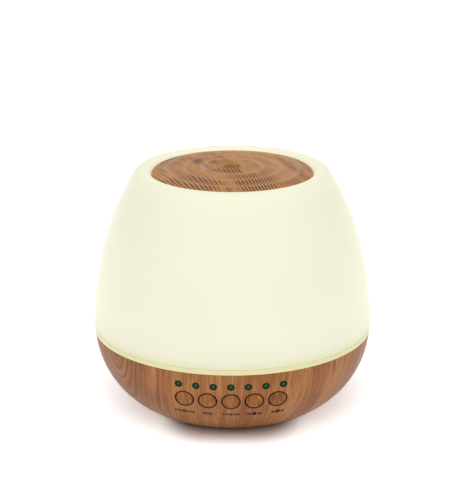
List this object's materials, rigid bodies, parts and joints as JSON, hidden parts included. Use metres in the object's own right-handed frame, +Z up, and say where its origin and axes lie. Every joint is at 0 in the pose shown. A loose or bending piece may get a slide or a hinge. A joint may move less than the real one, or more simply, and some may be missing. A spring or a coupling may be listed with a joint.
{
  "type": "essential oil diffuser",
  "caption": "Egg-shaped ultrasonic oil diffuser: wood-look bowl with push buttons and lights, lift-off glowing cover, rippled wood-look top disc with a mist hole.",
  "frame": {"origin": "centre of the four feet, on the surface they stand on", "axes": "+Z up, -Y towards the buttons at the front, +Y towards the power inlet at the back, +X to the viewer's right from the front"},
  "size_m": [0.168, 0.168, 0.1478],
  "materials": {
    "frosted_cover": "translucent warm white, satin",
    "wood_look": "printed wood grain, satin",
    "milky_tank": "translucent milky, satin",
    "clear_lid": "translucent, smooth",
    "white_plastic": "satin",
    "black_plastic": "fine texture",
    "rubber": "matt",
    "silicone": "matt",
    "piezo_metal": "nickel plated",
    "steel": "zinc plated",
    "bearing_bronze": "sintered",
    "circuit_board": "solder mask",
    "component_black": "moulded epoxy",
    "can_aluminium": "drawn can",
    "sink_aluminium": "anodised",
    "copper_winding": "enamelled wire",
    "connector_white": "moulded",
    "green_lens": "transparent green",
    "led_white": "clear package",
    "contact_metal": "plated",
    "lead_red": "smooth insulation",
    "lead_grey": "smooth insulation",
    "magnet": "bonded ferrite"
  },
  "bodies": {
    "base": {"base_shell": "wood_look", "bottom_cover": "black_plastic", "bottom_screws": "steel", "rubber_feet": "rubber", "water_tank": "milky_tank", "tank_screws": "steel", "tank_seal": "silicone", "piezo_disc": "piezo_metal", "piezo_seal": "silicone", "piezo_retainer": "black_plastic", "retainer_screws": "steel", "driver_board": "circuit_board", "board_screws": "steel", "inductor": "copper_winding", "capacitors": "can_aluminium", "heat_sink": "sink_aluminium", "driver_transistor": "component_black", "control_chips": "component_black", "board_connectors": "connector_white", "fan_housing": "black_plastic", "fan_bearing": "bearing_bronze", "fan_stator": "copper_winding", "air_duct": "white_plastic", "fan_screws": "steel", "led_ring_board": "circuit_board", "mood_leds": "led_white", "button_board": "circuit_board", "tact_switches": "component_black", "indicator_leds": "led_white", "indicator_lenses": "green_lens", "button_bracket": "black_plastic", "panel_screws": "steel", "dc_jack": "black_plastic", "jack_pin": "contact_metal", "jack_nut": "contact_metal", "piezo_leads": "lead_red", "fan_leads": "lead_red", "led_leads": "lead_grey", "jack_leads": "lead_red", "button_ribbon": "lead_grey"},
    "cover": {"cover_shell": "frosted_cover", "top_disc": "wood_look", "mist_nozzle": "white_plastic", "nozzle_seal": "silicone", "disc_screws": "steel", "nozzle_screws": "steel"},
    "lid": {"tank_lid": "clear_lid"},
    "fan_rotor": {"fan_impeller": "black_plastic", "fan_magnet": "magnet", "fan_shaft": "steel"},
    "power_key": {"power_button": "wood_look", "power_plunger": "component_black"},
    "high_mist_key": {"high_mist_button": "wood_look", "high_mist_plunger": "component_black"},
    "low_mist_key": {"low_mist_button": "wood_look", "low_mist_plunger": "component_black"},
    "light_key": {"light_button": "wood_look", "light_plunger": "component_black"},
    "timer_key": {"timer_button": "wood_look", "timer_plunger": "component_black"}
  },
  "joints": [
    {"name": "cover_lift", "type": "slide", "parent": "base", "child": "cover", "axis": [0, 0, 1], "range_m": [0, 0.11]},
    {"name": "lid_lift", "type": "slide", "parent": "base", "child": "lid", "axis": [0, 0, 1], "range_m": [0, 0.005]},
    {"name": "fan_spin", "type": "hinge", "parent": "base", "child": "fan_rotor", "pos_m": [0, 0, 0.012], "axis": [0, 0, 1], "continuous": true},
    {"name": "power_press", "type": "slide", "parent": "base", "child": "power_key", "axis": [0, 1, 0], "range_m": [0, 0.0005], "stiffness_N_per_m": 400},
    {"name": "high_mist_press", "type": "slide", "parent": "base", "child": "high_mist_key", "axis": [0, 1, 0], "range_m": [0, 0.0005], "stiffness_N_per_m": 400},
    {"name": "low_mist_press", "type": "slide", "parent": "base", "child": "low_mist_key", "axis": [0, 1, 0], "range_m": [0, 0.0005], "stiffness_N_per_m": 400},
    {"name": "light_press", "type": "slide", "parent": "base", "child": "light_key", "axis": [0, 1, 0], "range_m": [0, 0.0005], "stiffness_N_per_m": 400},
    {"name": "timer_press", "type": "slide", "parent": "base", "child": "timer_key", "axis": [0, 1, 0], "range_m": [0, 0.0005], "stiffness_N_per_m": 400}
  ]
}
